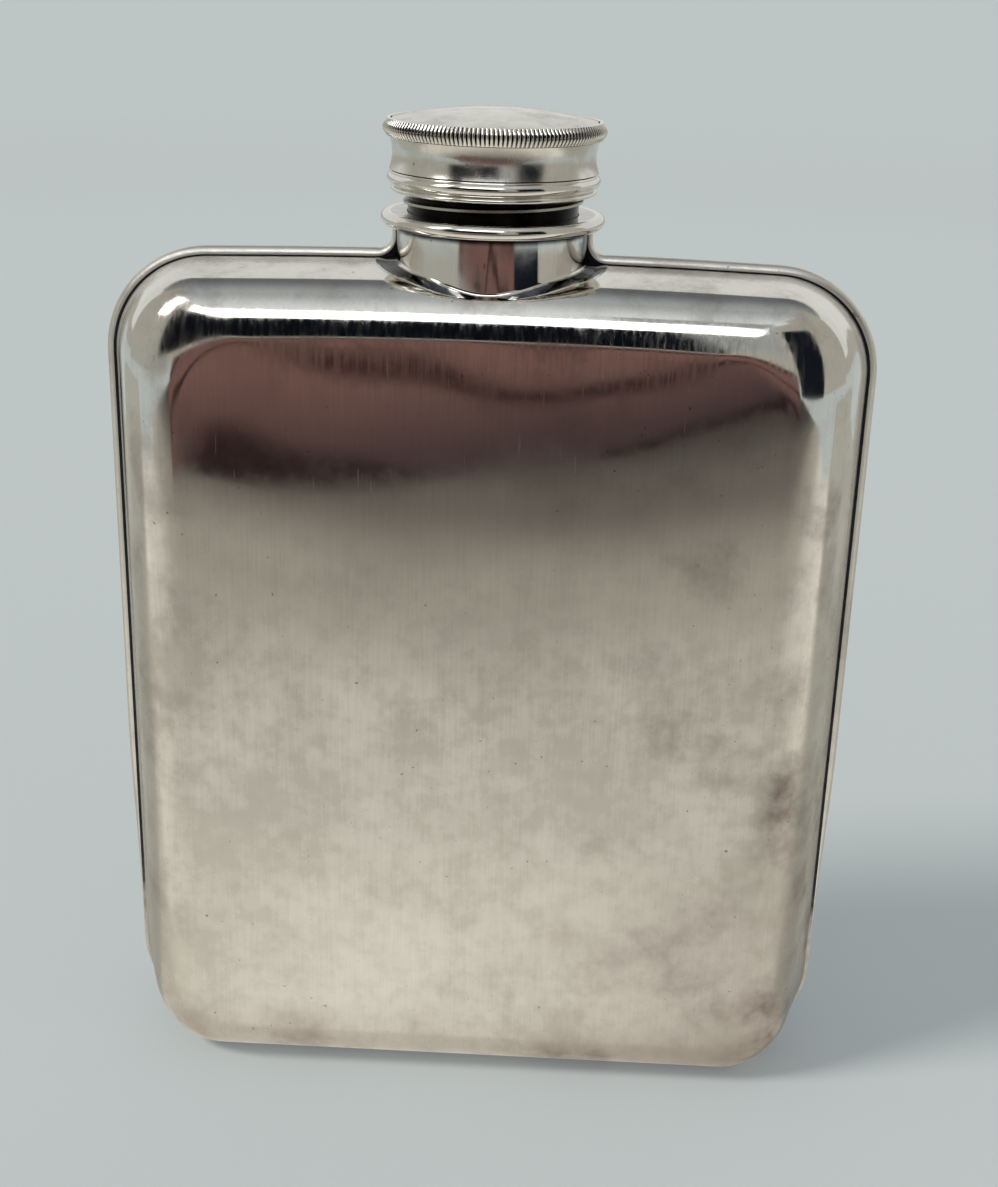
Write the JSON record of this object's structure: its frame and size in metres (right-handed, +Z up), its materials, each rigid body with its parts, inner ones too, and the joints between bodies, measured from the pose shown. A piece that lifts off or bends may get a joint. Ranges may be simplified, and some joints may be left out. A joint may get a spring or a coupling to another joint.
{
  "type": "hip flask",
  "caption": "Pillow-shaped silver pocket flask with a raised side seam, a short collared neck and a screw cap with a milled grip ring, shown slightly unscrewed.",
  "frame": {"origin": "middle of the flat base, on the joint between the two shells", "axes": "+Z up through the neck, +X to the right seen from the front face, -Y out of the front face"},
  "size_m": [0.1, 0.0306, 0.1324],
  "materials": {
    "silver": "polished silver, hazed and lightly tarnished",
    "thread_silver": "dark tarnished silver, unpolished",
    "cork": "fine-grained natural cork"
  },
  "bodies": {
    "flask": {"front_shell": "silver", "back_shell": "silver", "seam_band": "silver", "neck_collar": "silver", "threaded_neck": "thread_silver"},
    "liner": {"cork_liner": "cork"},
    "cap": {"cap_thread_sleeve": "thread_silver", "cap_foot_bead": "silver", "cap_waist": "silver", "cap_knurled_ring": "silver", "cap_top_plate": "silver", "cap_liner_plate": "thread_silver"}
  },
  "joints": [
    {"name": "cap_lift", "type": "slide", "parent": "flask", "child": "liner", "axis": [0, 0, 1], "range_m": [-0.00216, 0.00481]},
    {"name": "cap_turn", "type": "hinge", "parent": "liner", "child": "cap", "pos_m": [0, 0, 0.13], "axis": [0, 0, 1], "range_deg": [-645, 1440]}
  ],
  "couplings": [
    {"joint": "cap_lift", "follows": "cap_turn", "m_per_rad": 0.00019099}
  ]
}
